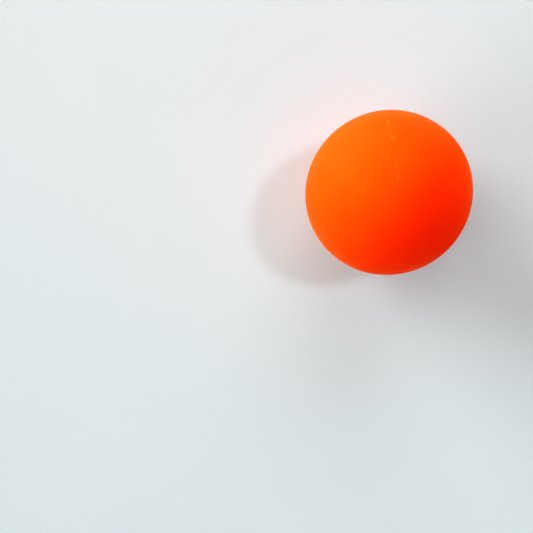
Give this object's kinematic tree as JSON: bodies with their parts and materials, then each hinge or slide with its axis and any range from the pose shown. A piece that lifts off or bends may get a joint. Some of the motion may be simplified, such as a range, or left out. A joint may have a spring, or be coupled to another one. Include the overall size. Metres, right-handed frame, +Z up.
{
  "type": "table tennis ball",
  "caption": "Hollow matt orange ball of thin plastic, made as cupped halves lapped and bonded along a seam round the equator.",
  "frame": {"origin": "centre of the ball", "axes": "+X through both poles, from the socket half towards the tongue half; the seam lies in the YZ plane; +Z up"},
  "size_m": [0.04, 0.04, 0.04],
  "materials": {
    "shell_plastic": "orange ABS, tumbled to an even matt",
    "seam_adhesive": "solvent cement sanded flush, paler than the shell"
  },
  "bodies": {
    "root": {"socket_half_shell": "shell_plastic", "tongue_half_shell": "shell_plastic", "seam_adhesive": "seam_adhesive"}
  },
  "joints": []
}
